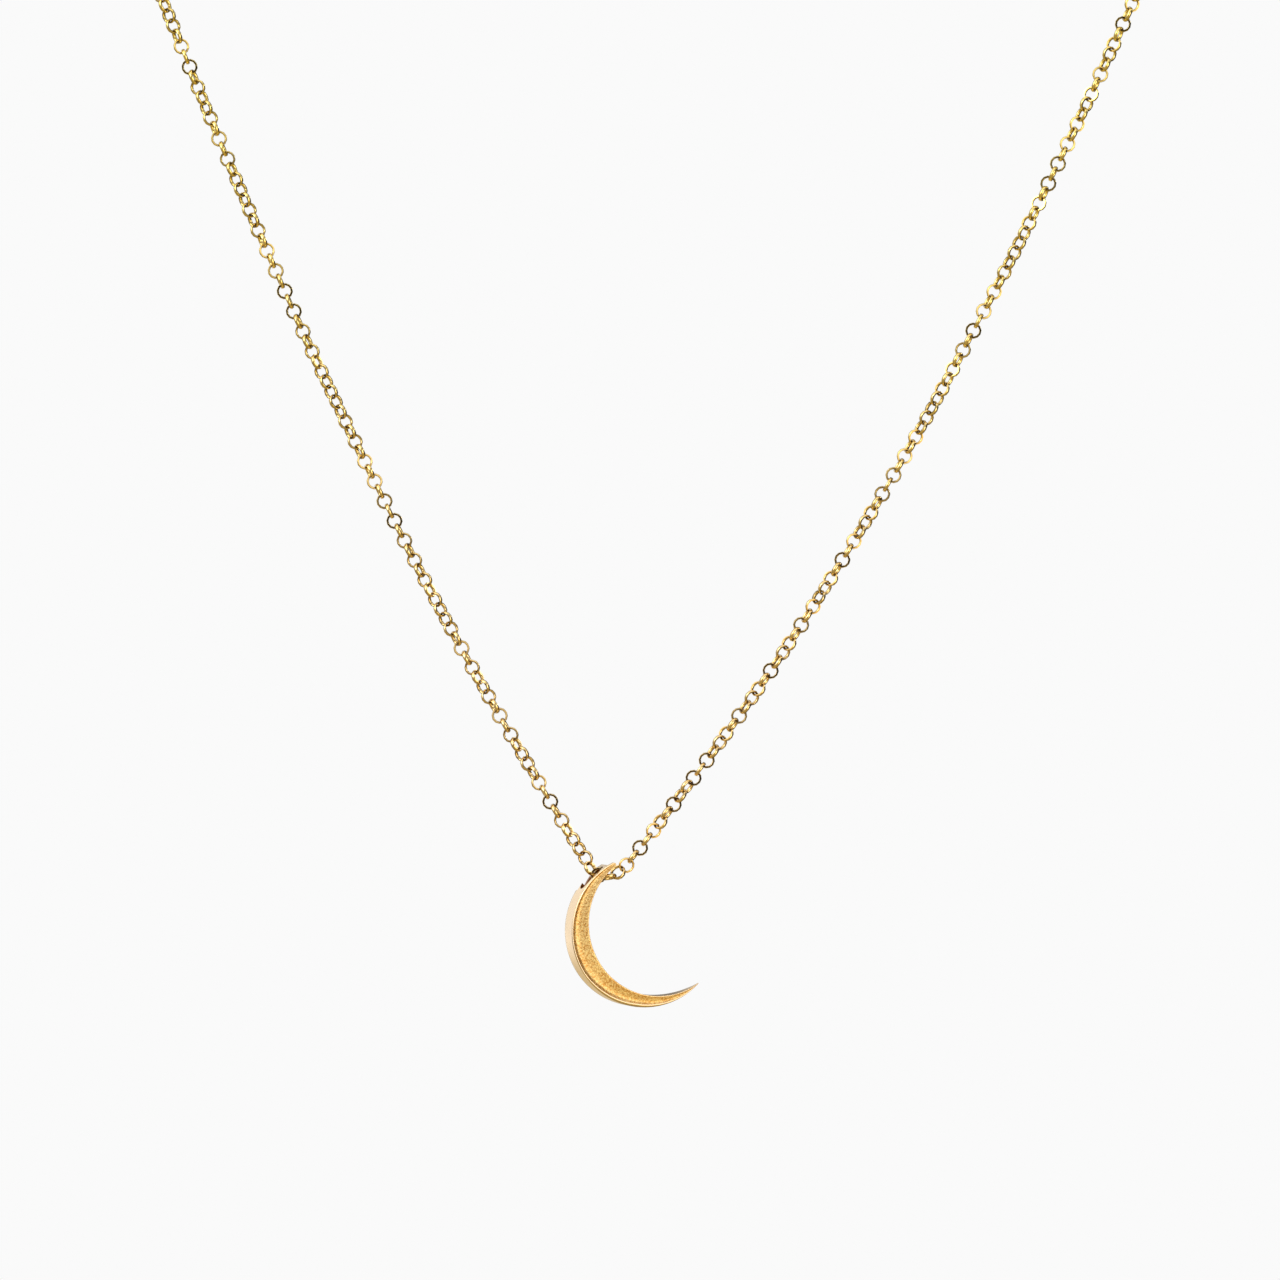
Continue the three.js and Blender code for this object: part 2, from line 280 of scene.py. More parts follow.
def makeSatinGold():
    # 14 carat gold blasted with fine grit: matt and even, with a sparkle of tiny facets
    material, tree, surface, where = startMaterial("sandblastedGold")
    grain = addNode(tree, "ShaderNodeTexNoise", {
        "Vector": where, "Scale": 1 / (satinSet["grain"] * mm), "Detail": 3.0, "Roughness": 0.7,
    })
    cloud = addNode(tree, "ShaderNodeTexNoise", {
        "Vector": where, "Scale": 1 / (satinSet["cloud"] * mm), "Detail": 2.0,
    })
    mixed = addNode(tree, "ShaderNodeMath", {
        0: cloud.outputs["Fac"], 1: satinSet["cloudShare"], 2: grain.outputs["Fac"],
    }, operation="MULTIPLY_ADD")
    share = addNode(tree, "ShaderNodeMapRange", {
        "Value": mixed.outputs[0], "From Min": 0.5, "From Max": 0.74,
    })
    colour = addNode(tree, "ShaderNodeMix", {
        0: share.outputs[0],
        6: hexColour(satinSet["deepColour"]),
        7: hexColour(satinSet["brightColour"]),
    }, data_type="RGBA")
    tree.links.new(colour.outputs[2], surface.inputs["Base Color"])
    gloss = addNode(tree, "ShaderNodeMapRange", {
        "Value": grain.outputs["Fac"],
        "From Min": 0.3, "From Max": 0.7,
        "To Min": satinSet["roughness"] - satinSet["roughnessSpread"],
        "To Max": satinSet["roughness"] + satinSet["roughnessSpread"],
    })
    tree.links.new(gloss.outputs[0], surface.inputs["Roughness"])
    bump = addNode(tree, "ShaderNodeBump", {
        "Strength": satinSet["grainStrength"],
        "Distance": satinSet["grainDepth"] * mm,
        "Height": grain.outputs["Fac"],
    })
    tree.links.new(bump.outputs[0], surface.inputs["Normal"])
    return material


workedSet = {
    "haze": 0.8,  # mm across a hazy patch
    "hazeShades": (0.95, 1.03),
    "hairStretch": (1.0, 1.0, 9.0),
    "hairTilt": (0.4, 0.2, 0.0),  # radians
    "hairDepth": 0.002,  # mm
    "hairStrength": 0.25,
}
# roughness, and mm between hairlines
finishes = {
    "wheelPolishedGold": {"tint": "#FCE2BC", "roughness": 0.2, "hair": 0.12},  # the pendant's walls
    "pressedClaspGold": {"tint": "#F4CC7C", "roughness": 0.15, "hair": 0.1},
    "slotShadeSawnGold": {"tint": "#96622E", "roughness": 0.36, "hair": 0.08},  # inside the slot: a dark tint of painted shade on sawn, unpolished gold
}


def makeWorkedGold(name):
    # 14 carat gold with a wheel's or a saw's hairlines and a breath of haze
    finish = finishes[name]
    material, tree, surface, where = startMaterial(name)
    haze = addNode(tree, "ShaderNodeTexNoise", {
        "Vector": where, "Scale": 1 / (workedSet["haze"] * mm), "Detail": 4.0, "Roughness": 0.55,
    })
    dullest, brightest = workedSet["hazeShades"]
    colour = addNode(tree, "ShaderNodeHueSaturation", {
        "Value": addNode(tree, "ShaderNodeMapRange", {
            "Value": haze.outputs["Fac"],
            "From Min": 0.3, "From Max": 0.7, "To Min": dullest, "To Max": brightest,
        }).outputs[0],
        "Color": hexColour(finish["tint"]),
    })
    tree.links.new(colour.outputs["Color"], surface.inputs["Base Color"])
    stretched = addNode(tree, "ShaderNodeMapping", {
        "Vector": where, "Scale": workedSet["hairStretch"], "Rotation": workedSet["hairTilt"],
    })
    hairs = addNode(tree, "ShaderNodeTexNoise", {
        "Vector": stretched.outputs[0], "Scale": 1 / (finish["hair"] * mm), "Detail": 2.0,
    })
    gloss = addNode(tree, "ShaderNodeMapRange", {
        "Value": hairs.outputs["Fac"],
        "From Min": 0.35, "From Max": 0.65,
        "To Min": finish["roughness"] - 0.03, "To Max": finish["roughness"] + 0.05,
    })
    tree.links.new(gloss.outputs[0], surface.inputs["Roughness"])
    bump = addNode(tree, "ShaderNodeBump", {
        "Strength": workedSet["hairStrength"],
        "Distance": workedSet["hairDepth"] * mm,
        "Height": hairs.outputs["Fac"],
    })
    tree.links.new(bump.outputs[0], surface.inputs["Normal"])
    return material


steelSet = {
    "darkColour": "#8F8E90",
    "lightColour": "#C9C7C6",
    "roughness": 0.3,
    "lineWidth": 0.04,  # mm between drawing lines
    "lineDepth": 0.002,  # mm
    "lineStrength": 0.3,
}


def makeSpringSteel():
    # hard drawn stainless spring wire: grey, with fine lines round the draw
    material, tree, surface, where = startMaterial("drawnSpringSteel")
    lines = addNode(tree, "ShaderNodeTexNoise", {
        "Vector": where, "Scale": 1 / (steelSet["lineWidth"] * mm), "Detail": 3.0,
    })
    colour = addNode(tree, "ShaderNodeMix", {
        0: lines.outputs["Fac"],
        6: hexColour(steelSet["darkColour"]),
        7: hexColour(steelSet["lightColour"]),
    }, data_type="RGBA")
    tree.links.new(colour.outputs[2], surface.inputs["Base Color"])
    surface.inputs["Roughness"].default_value = steelSet["roughness"]
    bump = addNode(tree, "ShaderNodeBump", {
        "Strength": steelSet["lineStrength"],
        "Distance": steelSet["lineDepth"] * mm,
        "Height": lines.outputs["Fac"],
    })
    tree.links.new(bump.outputs[0], surface.inputs["Normal"])
    return material


wireGold = makeWireGold()
satinGold = makeSatinGold()
wallGold = makeWorkedGold("wheelPolishedGold")
claspGold = makeWorkedGold("pressedClaspGold")
# the slot's gold is darkened with painted shade
slotGold = makeWorkedGold("slotShadeSawnGold")
springSteel = makeSpringSteel()
report("materials")


# belcher chain

linkSet = {
    "middleRadius": 0.65,  # mm, to the middle of the wire
    "wireRadial": 0.22,
    "wireAxial": 0.4,
    "pitch": 1.02,
    "ringSegments": 12,
    "wireSides": 6,
    "looseness": 3.0,  # degrees that a link may be turned off its neighbours' pattern
    "outside": 1.5,  # mm, across a link
    "flatFrom": 0.9,  # how squarely a face looks along the ring's axis to be a flat side
    "creaseShadeFrom": 0.5,  # shares of the radius between which the painted shade at the ends fades in
    "rubbedFull": 0.85,
    "seed": 7,
}


def makeLinkTree():
    # an oval wire ring on every point, turned to lie along the chain and twisted about it
    tree = bpy.data.node_groups.new("belcherLinks", "GeometryNodeTree")
    face = tree.interface
    face.new_socket("Link middles", in_out="INPUT", socket_type="NodeSocketGeometry")
    for name in ("Middle radius", "Wire radial", "Wire axial", "Looseness"):
        face.new_socket(name, in_out="INPUT", socket_type="NodeSocketFloat")
    for name in ("Ring segments", "Wire sides", "Seed"):
        face.new_socket(name, in_out="INPUT", socket_type="NodeSocketInt")
    face.new_socket("Wire gold", in_out="INPUT", socket_type="NodeSocketMaterial")
    face.new_socket("Links", in_out="OUTPUT", socket_type="NodeSocketGeometry")
    given = addNode(tree, "NodeGroupInput").outputs
    circle = addNode(tree, "GeometryNodeCurvePrimitiveCircle", {
        "Resolution": given["Ring segments"], "Radius": given["Middle radius"],
    })
    section = addNode(tree, "GeometryNodeCurvePrimitiveCircle", {
        "Resolution": given["Wire sides"], "Radius": 0.5,
    })
    flat = addNode(tree, "ShaderNodeCombineXYZ", {
        "X": given["Wire radial"], "Y": given["Wire axial"], "Z": 1.0,
    })
    oval = addNode(tree, "GeometryNodeTransform", {
        "Geometry": section.outputs["Curve"], "Scale": flat.outputs[0],
    })
    ring = addNode(tree, "GeometryNodeCurveToMesh", {
        "Curve": circle.outputs["Curve"], "Profile Curve": oval.outputs[0],
    })
    # the ring's two flat sides are shaded flat, and the rest of the wire is round
    smooth = addNode(tree, "GeometryNodeSetShadeSmooth", {0: ring.outputs[0]})
    normal = addNode(tree, "GeometryNodeInputNormal")
    facing = addNode(tree, "ShaderNodeSeparateXYZ", {0: normal.outputs[0]})
    lean = addNode(tree, "ShaderNodeMath", {0: facing.outputs["Z"]}, operation="ABSOLUTE")
    flatSide = addNode(tree, "FunctionNodeCompare", {
        0: lean.outputs[0], 1: linkSet["flatFrom"],
    }, operation="GREATER_THAN")
    shaded = addNode(tree, "GeometryNodeSetShadeSmooth", {
        "Geometry": smooth.outputs[0], "Selection": flatSide.outputs[0], "Shade Smooth": False,
    })
    # the flat sides are marked for the painted dark reflection in the wire's colour
    sided = addNode(tree, "GeometryNodeStoreNamedAttribute", {
        "Geometry": shaded.outputs[0], "Name": "side", "Value": flatSide.outputs[0],
    }, data_type="FLOAT", domain="FACE")
    # painted shade, with a little tarnish, on the inside of the ring at its two ends along the chain, where
    # its neighbours pass
    position = addNode(tree, "GeometryNodeInputPosition")
    spot = addNode(tree, "ShaderNodeSeparateXYZ", {0: position.outputs[0]})
    reach = addNode(tree, "ShaderNodeMath", {
        0: addNode(tree, "ShaderNodeMath", {0: spot.outputs["X"]}, operation="ABSOLUTE").outputs[0],
        1: given["Middle radius"],
    }, operation="DIVIDE")
    flatPlace = addNode(tree, "ShaderNodeCombineXYZ", {"X": spot.outputs["X"], "Y": spot.outputs["Y"]})
    fromAxis = addNode(tree, "ShaderNodeVectorMath", {0: flatPlace.outputs[0]}, operation="LENGTH")
    inner = addNode(tree, "ShaderNodeMath", {
        0: fromAxis.outputs["Value"], 1: given["Middle radius"],
    }, operation="LESS_THAN")
    endShare = addNode(tree, "ShaderNodeMapRange", {
        "Value": reach.outputs[0], "From Min": linkSet["creaseShadeFrom"], "From Max": linkSet["rubbedFull"],
    })
    rubbed = addNode(tree, "ShaderNodeMath", {
        0: endShare.outputs[0], 1: inner.outputs[0],
    }, operation="MULTIPLY")
    marked = addNode(tree, "GeometryNodeStoreNamedAttribute", {
        "Geometry": sided.outputs[0], "Name": "creaseShadeAndTarnish", "Value": rubbed.outputs[0],
    }, data_type="FLOAT", domain="POINT")
    along = addNode(tree, "GeometryNodeInputNamedAttribute", {"Name": "along"}, data_type="FLOAT_VECTOR")
    twist = addNode(tree, "GeometryNodeInputNamedAttribute", {"Name": "twist"}, data_type="FLOAT")
    laid = addNode(tree, "FunctionNodeAxesToRotation", {
        "Primary Axis": (0.0, 1.0, 0.0), "Secondary Axis": along.outputs[0],
    }, primary_axis="Z", secondary_axis="X")
    minus = addNode(tree, "ShaderNodeMath", {0: given["Looseness"], 1: -1.0}, operation="MULTIPLY")
    play = addNode(tree, "FunctionNodeRandomValue", {
        2: minus.outputs[0], 3: given["Looseness"], "Seed": given["Seed"],
    }, data_type="FLOAT")
    turned = addNode(tree, "ShaderNodeMath", {0: twist.outputs[0], 1: play.outputs[1]}, operation="ADD")
    spin = addNode(tree, "FunctionNodeAxisAngleToRotation", {
        "Axis": (1.0, 0.0, 0.0), "Angle": turned.outputs[0],
    })
    rotation = addNode(tree, "FunctionNodeRotateRotation", {
        "Rotation": laid.outputs[0], "Rotate By": spin.outputs[0],
    }, rotation_space="LOCAL")
    placed = addNode(tree, "GeometryNodeInstanceOnPoints", {
        "Points": given["Link middles"], "Instance": marked.outputs[0], "Rotation": rotation.outputs[0],
    })
    tint = addNode(tree, "FunctionNodeRandomValue", {"Seed": given["Seed"]}, data_type="FLOAT")
    tinted = addNode(tree, "GeometryNodeStoreNamedAttribute", {
        "Geometry": placed.outputs[0], "Name": "linkShade", "Value": tint.outputs[1],
    }, data_type="FLOAT", domain="INSTANCE")
    real = addNode(tree, "GeometryNodeRealizeInstances", {0: tinted.outputs[0]})
    golden = addNode(tree, "GeometryNodeSetMaterial", {
        "Geometry": real.outputs[0], "Material": given["Wire gold"],
    })
    addNode(tree, "NodeGroupOutput", {0: golden.outputs[0]})
    return tree


linkTree = makeLinkTree()


def giveInputs(modifier, values):
    # sets a modifier's inputs by their sockets' identifiers
    for item in modifier.node_group.interface.items_tree:
        if item.item_type == "SOCKET" and item.in_out == "INPUT" and item.name in values:
            modifier[item.identifier] = values[item.name]


def linkRun(name, links):
    # links are (middle, direction along the chain, twist in degrees)
    points = bpy.data.meshes.new(name + "Middles")
    points.from_pydata([tuple(middle) for middle, along, twist in links], [], [])
    along = points.attributes.new("along", "FLOAT_VECTOR", "POINT")
    along.data.foreach_set("vector", [value for link in links for value in link[1]])
    twist = points.attributes.new("twist", "FLOAT", "POINT")
    twist.data.foreach_set("value", [math.radians(link[2]) for link in links])
    host = bpy.data.objects.new(name + "Host", points)
    scene.collection.objects.link(host)
    modifier = host.modifiers.new("belcherLinks", "NODES")
    modifier.node_group = linkTree
    giveInputs(modifier, {
        "Middle radius": linkSet["middleRadius"] * mm,
        "Wire radial": linkSet["wireRadial"] * mm,
        "Wire axial": linkSet["wireAxial"] * mm,
        "Looseness": math.radians(linkSet["looseness"]) if len(links) > 1 else 0.0,
        "Ring segments": linkSet["ringSegments"],
        "Wire sides": linkSet["wireSides"],
        "Seed": linkSet["seed"],
        "Wire gold": wireGold,
    })
    mesh = plainMesh(host)
    mesh.name = name
    return mesh


def smoothRoute(corners, steps=16):
    # a centripetal spline through x, z corners in mm, as points in metres
    spots = [Vector((x * mm, 0.0, z * mm)) for x, z in corners]
    spots = [spots[0] * 2 - spots[1], *spots, spots[-1] * 2 - spots[-2]]
    points = [spots[1]]
    for a, b, c, d in zip(spots, spots[1:], spots[2:], spots[3:]):
        gapA, gapB, gapC = (math.sqrt((q - p).length) for p, q in ((a, b), (b, c), (c, d)))
        leave = ((b - a) / gapA - (c - a) / (gapA + gapB) + (c - b) / gapB) * gapB
        arrive = ((c - b) / gapB - (d - b) / (gapB + gapC) + (d - c) / gapC) * gapB
        for i in range(1, steps + 1):
            t = i / steps
            cubic = (b - c) * 2 + leave + arrive
            square = (c - b) * 3 - leave * 2 - arrive
            points.append(b + leave * t + square * t * t + cubic * t * t * t)
    return points


def routeLength(points):
    return sum((q - p).length for p, q in zip(points, points[1:]))


def spotOn(points, distance):
    # the place and direction at a distance along a route
    for p, q in zip(points, points[1:]):
        step = (q - p).length
        if distance <= step or q is points[-1]:
            return p + (q - p) * (distance / step), (q - p).normalized()
        distance -= step


def blendStops(stops, value):
    # a value between (place, amount) stops
    for (low, first), (high, second) in zip(stops, stops[1:]):
        if value <= high:
            return first + (second - first) * max(0.0, (value - low) / (high - low))
    return stops[-1][1]


# Each side of the front: the middle line from its hang point down to link 3 beside the pendant.
# Each link lies at a quarter turn to the next. "untwist" is how many degrees the chain has
# turned off that pattern by a height in mm.
frontSet = {
    "left": {
        "route": [
            (-46.6, -21.0), (-44.3, -26.84), (-41.32, -34.24), (-38.22, -41.65), (-35.02, -49.06),
            (-31.69, -56.47), (-28.19, -63.87), (-24.55, -71.28), (-20.76, -78.69), (-16.75, -86.1),
            (-12.51, -93.5), (-8.6, -100.08), (-6.57, -103.39),
        ],
        "link3Twist": 315,
        "untwist": [
            (-103.39, 0), (-98.9, 45), (-94.9, 90), (-88.2, 180), (-82.3, 270), (-61.6, 360),
            (-42.1, 450), (-34.6, 540), (-21.0, 690),
        ],
        "pendantLinks": [((-5.97, -104.24), 210), ((-5.52, -105.2), 119)],
    },
    "right": {
        "route": [
            (46.5, -21.0), (43.88, -26.84), (40.51, -34.24), (36.95, -41.65), (33.29, -49.06),
            (29.37, -56.47), (25.38, -63.87), (21.06, -71.28), (16.52, -78.69), (11.71, -86.1),
            (6.49, -93.5), (0.93, -100.91), (-2.18, -104.91),
        ],
        "link3Twist": 195,
        "untwist": [
            (-104.91, 0), (-103.36, 10), (-102.6, 15), (-99.34, 105), (-96.88, 190), (-95.2, 198),
            (-91.09, 285), (-86.89, 375), (-82.7, 465), (-70.0, 640), (-44.0, 800), (-35.2, 855),
            (-30.4, 945), (-21.0, 1100),
        ],
        "pendantLinks": [((-2.965, -105.58), 142)],
    },
}
tunnelSet = {
    "tunnelLink": ((-4.77, -105.83), 0),  # in the pendant's slot
    "turningLink": ((-3.83, -106.0), 78),
}
neckSet = {
    "radius": 51.0,  # mm, of the round form to the middle of the chain
    "arcPoints": 12,
    "drift": 6.0,  # degrees per link off the quarter turns
    "left": {"from": 201.3, "to": 107.6, "end": (-6.0, 51.6), "endAlong": (1.0, 0.12)},
    "right": {"from": -24.2, "to": 75.4, "end": (4.03, 51.65), "endAlong": (1.0, -0.12)},
}


def pendantChain():
    # every link from left link 3 through the slot to right link 3, in order
    left, right = frontSet["left"], frontSet["right"]
    return [
        (left["route"][-1], left["link3Twist"]), *left["pendantLinks"],
        tunnelSet["tunnelLink"], tunnelSet["turningLink"],
        *reversed(right["pendantLinks"]), (right["route"][-1], right["link3Twist"]),
    ]


def flatDirection(start, end):
    return Vector((end[0] - start[0], 0.0, end[1] - start[1])).normalized()


def placeLink(order, index):
    # one of the pendant's links, lying along the line between its neighbours
    (x, z), twist = order[index]
    before = order[max(index - 1, 0)][0]
    after = order[min(index + 1, len(order) - 1)][0]
    return Vector((x * mm, 0.0, z * mm)), flatDirection(before, after), twist


def frontLinks(side):
    # the links of one side, from the hang point down
    given = frontSet[side]
    route = smoothRoute(given["route"])
    length = routeLength(route)
    pitch = linkSet["pitch"] * mm
    steps = round((length - pitch / 2) / pitch)
    links = []
    for above in range(steps, 0, -1):
        middle, along = spotOn(route, length - (length - pitch / 2) * above / steps)
        untwist = blendStops(given["untwist"], middle.z / mm)
        links.append((middle, along, given["link3Twist"] + 90 * above - untwist))
    order = pendantChain()
    indices = [0, 1, 2] if side == "left" else [6, 5]
    links += [placeLink(order, i) for i in indices]
    return links


def neckLinks(side, firstTwist):
    # the links of one side over the neck form, from beyond the hang point to the clasp
    given = neckSet[side]
    hang = frontSet[side]["route"][0]
    below = frontSet[side]["route"][1]
    corners = [hang]
    for i in range(neckSet["arcPoints"] + 1):
        turn = math.radians(given["from"] + (given["to"] - given["from"]) * i / neckSet["arcPoints"])
        corners.append((neckSet["radius"] * math.cos(turn), neckSet["radius"] * math.sin(turn)))
    route = smoothRoute([*corners, given["end"]])
    length = routeLength(route)
    pitch = linkSet["pitch"] * mm
    steps = round((length - pitch / 2) / pitch)
    # the last link is seen on edge from the front, so that it fits its ring
    total = 180 * round((firstTwist - 90 + (90 + neckSet["drift"]) * steps) / 180) + 90 - firstTwist
    back = flatDirection(below, hang)
    shoulder = Vector((hang[0] * mm, 0.0, hang[1] * mm)) + back * pitch / 2
    links = [(shoulder, back, firstTwist)]
    for i in range(1, steps):
        middle, along = spotOn(route, pitch / 2 + (length - pitch / 2) * i / steps)
        links.append((middle, along, firstTwist + total * i / steps))
    across = Vector((given["endAlong"][0], 0.0, given["endAlong"][1])).normalized()
    links.append((Vector((given["end"][0] * mm, 0.0, given["end"][1] * mm)), across, firstTwist + total))
    return links


def addChain():
    total = 0
    for side in ("left", "right"):
        links = frontLinks(side)
        stem = [f"{side}_link_{n}" for n in range(8, 0, -1)]
        if side == "right":
            stem.remove("right_link_1")
        piece = newPiece(
            f"{side}FrontLinks", linkRun(f"{side}FrontLinks", links), "front_chain", "chain_gold",
            f"{side}_front_chain", f"{side}_hang_link", *stem,
        )
        neck = neckLinks(side, links[0][2] + 90)
        neckPiece = newPiece(
            f"{side}NeckLinks", linkRun(f"{side}NeckLinks", neck), "neck_chain", "chain_gold",
            f"{side}_neck_chain", f"{side}_shoulder_link", f"{side}_end_link",
        )
        total += len(links) + len(neck)
    order = pendantChain()
    newPiece(
        "tunnelLink", linkRun("tunnelLink", [placeLink(order, 3)]), "tunnel_link", "chain_gold",
        "tunnel_link",
    )
    newPiece(
        "turningLink", linkRun("turningLink", [placeLink(order, 4)]), "turning_link", "chain_gold",
        "right_link_1",
    )
    report(f"chain of {total + 2} links")


addChain()


# crescent pendant

crescentSet = {
    "outerRadius": 7.08,  # mm
    "innerRadius": 6.785,
    "innerOffset": (1.318, 0.747),
    "upperTip": 115.0,  # degrees about the outer arc's middle
    "lowerTip": 316.2,
    "depth": 2.6,
    "backTaper": [(0, 1.3), (1.5, 1.08), (3.0, 0.45), (4.2, -0.25), (5.2, -1.0)],
    "turn": 16.0,  # degrees about the vertical
    "balanceU": -3.73,
    "balanceX": -4.324,
    "z": -111.0,
    "edge": 0.045,  # radius of the polished edges
    "rim": 0.05,  # polished rim round the blasted face
    # the outer edge is worn wider along the bottom: (angle, width)
    "bevels": [(115, 0.0), (205, 0.0), (235, 0.16), (262, 0.24), (290, 0.1), (316, 0.0)],
    "dish": 0.19,  # how deep the face is hollowed
    "dishFall": 7,  # how steeply the hollow starts from the rim
    "tipRound": 0.14,
    "stations": 220,
    "faceSteps": 14,
    "wallSteps": 8,
    "sharpAngle": 50,
}
slotSet = {
    "upper": 121.8,  # degrees, like the tips
    "lower": 147.0,
    "width": 1.8,
    "hornRadius": 6.66,
    "reach": 2.0,  # how far the slot's cut goes each way from the horn's middle
    "sides": 48,
    "bridge": 120.0,  # where the bridge across the slot's top ends
    "tipCut": {"radii": (5.0, 8.5), "from": 108},  # the cut behind the upper tip
    "strap": 0.6,  # width of the bar behind the slot
    "strapCut": {"outerRadius": 9.5, "angles": (134, 157.5), "front": 0.85},  # the cut beside it
    "plate": 0.42,  # depth of the front plate at the upper tip
    "behind": 2.0,  # a depth well behind the pendant
    "sectorSteps": 16,
}


def pendantSpot(u, w, v):
    # u right and w up on the face, v into the depth; from mm on the pendant to the frame
    turn = math.radians(crescentSet["turn"])
    across = u - crescentSet["balanceU"]
    x = crescentSet["balanceX"] + across * math.cos(turn) - v * math.sin(turn)
    y = across * math.sin(turn) + v * math.cos(turn)
    return Vector((x * mm, y * mm, (crescentSet["z"] + w) * mm))


def hornSection(thickness, squeeze, back, bevel):
    # the outline of a cut through the horn: (distance in from the outer wall, depth, on the face)
    half = crescentSet["depth"] / 2
    edge = min(crescentSet["edge"], 0.25 * thickness, 0.2 * (back + half))
    rim = min(crescentSet["rim"], 0.14 * thickness)
    bevel = min(max(edge, bevel), 0.25 * thickness)
    dish = min(crescentSet["dish"], 0.12 * thickness)
    steps = crescentSet["wallSteps"]
    walls = [back - edge + (edge + bevel - half - back) * i / steps for i in range(steps + 1)]
    outline = [(edge, back, 0), (0.3 * edge, back - 0.3 * edge, 0)]
    outline += [(0.0, v, 0) for v in walls]
    outline[-1] = (0.0, bevel - half, 0)
    outline += [(0.3 * bevel, 0.3 * bevel - half, 0), (bevel, -half, 0), (bevel + rim, -half, 0)]
    start = bevel + rim + 0.35 * dish
    for i in range(crescentSet["faceSteps"] + 1):
        t = i / crescentSet["faceSteps"]
        depth = dish * (1 - t) * (0.35 + 1.65 * (1 - math.exp(-crescentSet["dishFall"] * t)))
        outline.append((start + (thickness - edge - start) * t, depth - half, 1))
    outline.append((thickness - 0.3 * edge, 0.3 * edge - half, 0))
    walls = [back - edge + (2 * edge - half - back) * i / steps for i in range(steps + 1)]
    outline += [(thickness, v, 0) for v in reversed(walls)]
    outline += [(thickness - 0.3 * edge, back - 0.3 * edge, 0), (thickness - edge, back, 0)]
    middle = thickness / 2
    return [(middle + (s - middle) * squeeze, v, face) for s, v, face in outline]


def crescentMesh():
    outer, inner = crescentSet["outerRadius"], crescentSet["innerRadius"]
    offset = Vector(crescentSet["innerOffset"])
    upper, span = crescentSet["upperTip"], crescentSet["lowerTip"] - crescentSet["upperTip"]
    stations = crescentSet["stations"]
    rings = []
    for i in range(stations + 1):
        share = i / stations
        share = share + 0.5 * math.sin(2 * math.pi * share) / (-2 * math.pi)  # closer near the tips
        turn = math.radians(upper + span * share)
        out = Vector((math.cos(turn), math.sin(turn))) * outer
        inward = (out - offset).normalized() * inner + offset - out
        thickness = inward.length
        reach = outer * math.radians(span) * min(share, 1 - share)
        ease = min(1.0, reach / crescentSet["tipRound"])
        squeeze = max(0.12, math.sqrt(1 - (1 - ease) ** 2))
        inward.normalize()
        back = blendStops(crescentSet["backTaper"], out.x + inward.x * thickness / 2)
        if out.y > 0:
            back = crescentSet["depth"] / 2
        bevel = blendStops(crescentSet["bevels"], math.degrees(turn))
        rings.append([
            (pendantSpot(out.x + inward.x * s, out.y + inward.y * s, v), face)
            for s, v, face in hornSection(thickness, squeeze, back, bevel)
        ])
    count = len(rings[0])
    corners = [spot for ring in rings for spot, face in ring]
    golds = [wallGold, satinGold]
    indices = []
    for ring in rings[:-1]:
        indices += [1 if ring[j][1] and ring[(j + 1) % count][1] else 0 for j in range(count)]
    indices += [0, 0]
    faces = tubeFaces(len(rings), count)
    return buildMesh("crescent", corners, faces, golds, indices, crescentSet["sharpAngle"])


def slotCutter():
    # a bar with round ends through the upper horn, along the radius
    half = slotSet["width"] / 2
    middle = math.radians((slotSet["upper"] + slotSet["lower"]) / 2)
    halfLength = slotSet["hornRadius"] * math.sin(math.radians((slotSet["lower"] - slotSet["upper"]) / 2))
    sides = slotSet["sides"]
    shift = halfLength - half
    outline = []
    for i in range(sides):
        turn = 2 * math.pi * (i + 0.5) / sides
        outline.append((math.copysign(shift, math.cos(turn)) + half * math.cos(turn), half * math.sin(turn)))
    out = Vector((math.cos(middle), math.sin(middle)))
    along = Vector((-out.y, out.x))
    corners = []
    for reach in (slotSet["hornRadius"] - slotSet["reach"], slotSet["hornRadius"] + slotSet["reach"]):
        for a, v in outline:
            spot = out * reach + along * a
            corners.append(pendantSpot(spot.x, spot.y, v))
    return buildMesh("slotBar", corners, prismFaces(sides), [slotGold])


def sectorCutter(name, centre, radii, angles, depths):
    # a sector of the horn, between two radii, angles and depths
    steps = slotSet["sectorSteps"]
    outline = []
    for reach, order in ((radii[0], range(steps + 1)), (radii[1], range(steps, -1, -1))):
        for i in order:
            turn = math.radians(angles[0] + (angles[1] - angles[0]) * i / steps)
            outline.append((centre[0] + reach * math.cos(turn), centre[1] + reach * math.sin(turn)))
    corners = [pendantSpot(u, w, v) for v in depths for u, w in outline]
    return buildMesh(name, corners, prismFaces(len(outline)), [slotGold])


def cutAway(mesh, cutters, sharpAngle):
    # the mesh less the cutters, shaded again
    host = bpy.data.objects.new("blank", mesh)
    scene.collection.objects.link(host)
    tools = []
    for cutter in cutters:
        tool = bpy.data.objects.new("cutter", cutter)
        scene.collection.objects.link(tool)
        tools.append(tool)
        cut = host.modifiers.new("cut", "BOOLEAN")
        cut.operation = "DIFFERENCE"
        cut.solver = "EXACT"
        cut.material_mode = "TRANSFER"
        cut.object = tool
    result = plainMesh(host)
    for tool in tools:
        bpy.data.objects.remove(tool)
    smoothMesh(result, sharpAngle)
    return result


